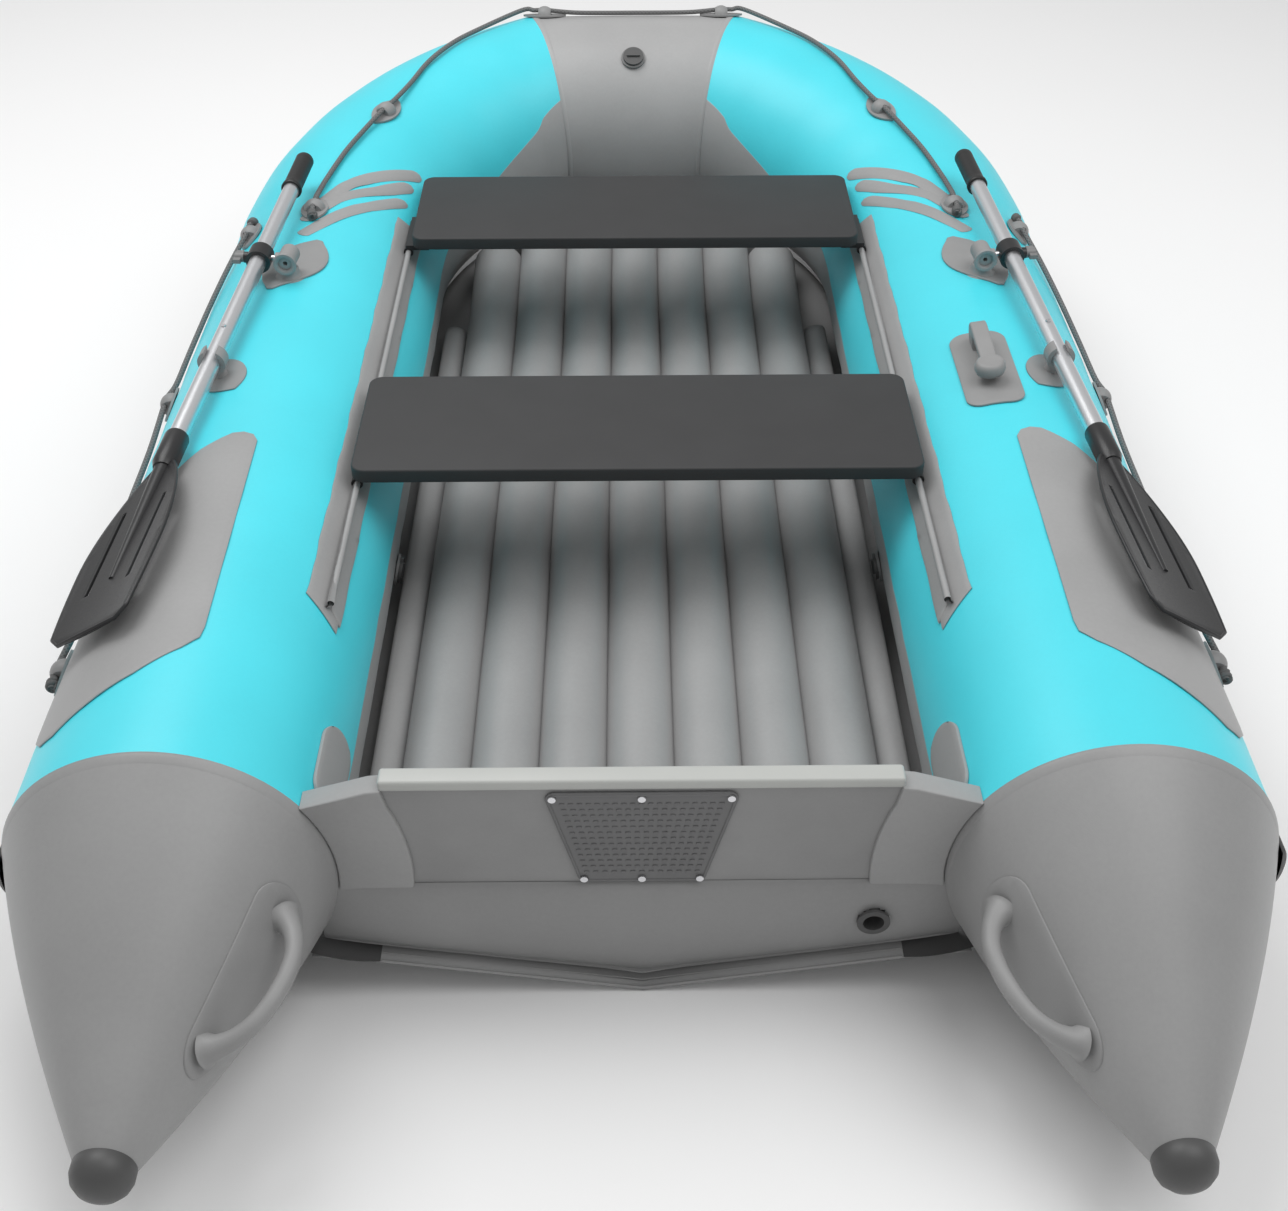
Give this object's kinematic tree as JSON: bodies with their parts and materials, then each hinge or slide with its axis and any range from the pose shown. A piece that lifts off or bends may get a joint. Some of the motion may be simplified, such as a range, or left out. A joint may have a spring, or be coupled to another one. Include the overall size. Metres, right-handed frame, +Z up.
{
  "type": "inflatable motor dinghy",
  "caption": "Inflatable dinghy with stern cones, motor transom, ribbed air floor, sliding bench seats and stowed oars on swivelling oarlocks.",
  "frame": {"origin": "centre of the boat's overall footprint, at the level of the keel line", "axes": "+Y to the bow, +X to starboard, +Z up"},
  "size_m": [1.6718, 2.9042, 0.5485],
  "materials": {
    "turquoise_pvc": "satin",
    "grey_pvc": "satin",
    "floor_pvc": "satin",
    "strake_rubber": "satin",
    "black_rubber": "satin",
    "grey_rubber": "satin",
    "transom_board": "satin",
    "pale_plastic": "satin",
    "dark_plastic": "matte",
    "black_plastic": "satin",
    "grey_plastic": "satin",
    "seat_board": "matte",
    "steel": "satin",
    "anodised_tube": "satin",
    "rope": "matte"
  },
  "bodies": {
    "hull": {"port_tube": "turquoise_pvc", "starboard_tube": "turquoise_pvc", "port_shoulder": "turquoise_pvc", "starboard_shoulder": "turquoise_pvc", "port_bow_quarter": "turquoise_pvc", "starboard_bow_quarter": "turquoise_pvc", "bow_tube": "grey_pvc", "port_cone": "grey_pvc", "starboard_cone": "grey_pvc", "cone_caps": "black_rubber", "bulkheads": "floor_pvc", "air_floor": "floor_pvc", "keel_tube": "grey_pvc", "bottom_skin": "grey_pvc", "transom_board": "transom_board", "transom_trim": "pale_plastic", "transom_holders": "grey_rubber", "transom_skirt": "grey_pvc", "motor_plate": "dark_plastic", "motor_plate_screws": "steel", "drain_body": "dark_plastic", "seat_rails": "grey_rubber", "blade_patches": "grey_pvc", "tube_stripes": "grey_pvc", "rub_strakes": "strake_rubber", "strake_ends": "black_rubber", "oarlock_bases": "grey_rubber", "oar_clips": "grey_rubber", "rope_eyes": "grey_rubber", "lifelines": "rope", "anchor_cleat": "grey_rubber", "grab_handles": "grey_rubber", "valve_bodies": "grey_plastic"},
    "rear_seat_board": {"rear_seat": "seat_board", "rear_seat_runners": "black_plastic"},
    "front_seat_board": {"front_seat": "seat_board", "front_seat_runners": "black_plastic"},
    "port_swivel": {"port_oarlock": "grey_plastic"},
    "port_oar": {"port_oar_collar": "black_plastic", "port_oar_pin": "steel", "port_oar_shaft": "anodised_tube", "port_oar_grip": "black_plastic", "port_oar_blade": "black_plastic"},
    "port_knob": {"port_clamp_knob": "grey_plastic"},
    "port_button": {"port_snap_button": "steel"},
    "starboard_swivel": {"starboard_oarlock": "grey_plastic"},
    "starboard_oar": {"starboard_oar_collar": "black_plastic", "starboard_oar_pin": "steel", "starboard_oar_shaft": "anodised_tube", "starboard_oar_grip": "black_plastic", "starboard_oar_blade": "black_plastic"},
    "starboard_knob": {"starboard_clamp_knob": "grey_plastic"},
    "starboard_button": {"starboard_snap_button": "steel"},
    "bow_cap": {"bow_valve_cap": "grey_plastic"},
    "bow_stem": {"bow_valve_stem": "steel"},
    "port_cap": {"port_valve_cap": "grey_plastic"},
    "port_stem": {"port_valve_stem": "steel"},
    "starboard_cap": {"starboard_valve_cap": "grey_plastic"},
    "starboard_stem": {"starboard_valve_stem": "steel"},
    "plug": {"drain_plug": "black_plastic"}
  },
  "joints": [
    {"name": "rear_seat_slide", "type": "slide", "parent": "hull", "child": "rear_seat_board", "axis": [0, 1, 0], "range_m": [-0.25, 0.28]},
    {"name": "front_seat_slide", "type": "slide", "parent": "hull", "child": "front_seat_board", "axis": [0, 1, 0], "range_m": [-0.2, 0]},
    {"name": "port_oar_swing", "type": "hinge", "parent": "hull", "child": "port_swivel", "pos_m": [-0.62212, 0.21564, 0.465], "axis": [0, 0, -1], "range_deg": [0, 80], "deforming": ["oar_clips"]},
    {"name": "port_oar_tilt", "type": "hinge", "parent": "port_swivel", "child": "port_oar", "pos_m": [-0.672, 0.21913, 0.465], "axis": [-0.9976, 0.0698, 0], "range_deg": [0, 4], "deforming": ["oar_clips"]},
    {"name": "port_clamp_turn", "type": "hinge", "parent": "port_oar", "child": "port_knob", "pos_m": [-0.672, 0.21913, 0.465], "axis": [-0.9976, 0.0698, 0], "continuous": true},
    {"name": "port_button_press", "type": "slide", "parent": "port_oar", "child": "port_button", "axis": [0.0037, 0.0522, -0.9986], "range_m": [0, 0.003], "stiffness_N_per_m": 300},
    {"name": "starboard_oar_swing", "type": "hinge", "parent": "hull", "child": "starboard_swivel", "pos_m": [0.62212, 0.21564, 0.465], "axis": [0, 0, 1], "range_deg": [0, 80], "deforming": ["oar_clips"]},
    {"name": "starboard_oar_tilt", "type": "hinge", "parent": "starboard_swivel", "child": "starboard_oar", "pos_m": [0.672, 0.21913, 0.465], "axis": [-0.9976, -0.0698, 0], "range_deg": [0, 4], "deforming": ["oar_clips"]},
    {"name": "starboard_clamp_turn", "type": "hinge", "parent": "starboard_oar", "child": "starboard_knob", "pos_m": [0.672, 0.21913, 0.465], "axis": [0.9976, 0.0698, 0], "continuous": true},
    {"name": "starboard_button_press", "type": "slide", "parent": "starboard_oar", "child": "starboard_button", "axis": [-0.0037, 0.0522, -0.9986], "range_m": [0, 0.003], "stiffness_N_per_m": 300},
    {"name": "bow_valve_cap_turn", "type": "hinge", "parent": "hull", "child": "bow_cap", "pos_m": [0, 1.10514, 0.49285], "axis": [0, -0.5736, 0.8192], "range_deg": [0, 90]},
    {"name": "bow_valve_press", "type": "slide", "parent": "hull", "child": "bow_stem", "axis": [0, 0.5736, -0.8192], "range_m": [0, 0.005], "stiffness_N_per_m": 300},
    {"name": "port_valve_cap_turn", "type": "hinge", "parent": "hull", "child": "port_cap", "pos_m": [-0.40051, -0.30887, 0.16664], "axis": [0.9744, 0, -0.225], "range_deg": [0, 90]},
    {"name": "port_valve_press", "type": "slide", "parent": "hull", "child": "port_stem", "axis": [-0.9744, 0, 0.225], "range_m": [0, 0.005], "stiffness_N_per_m": 300},
    {"name": "starboard_valve_cap_turn", "type": "hinge", "parent": "hull", "child": "starboard_cap", "pos_m": [0.40051, -0.30887, 0.16664], "axis": [-0.9744, 0, -0.225], "range_deg": [0, 90]},
    {"name": "starboard_valve_press", "type": "slide", "parent": "hull", "child": "starboard_stem", "axis": [0.9744, 0, 0.225], "range_m": [0, 0.005], "stiffness_N_per_m": 300},
    {"name": "drain_plug_pull", "type": "slide", "parent": "hull", "child": "plug", "axis": [0, 1, 0], "range_m": [0, 0.02]}
  ]
}
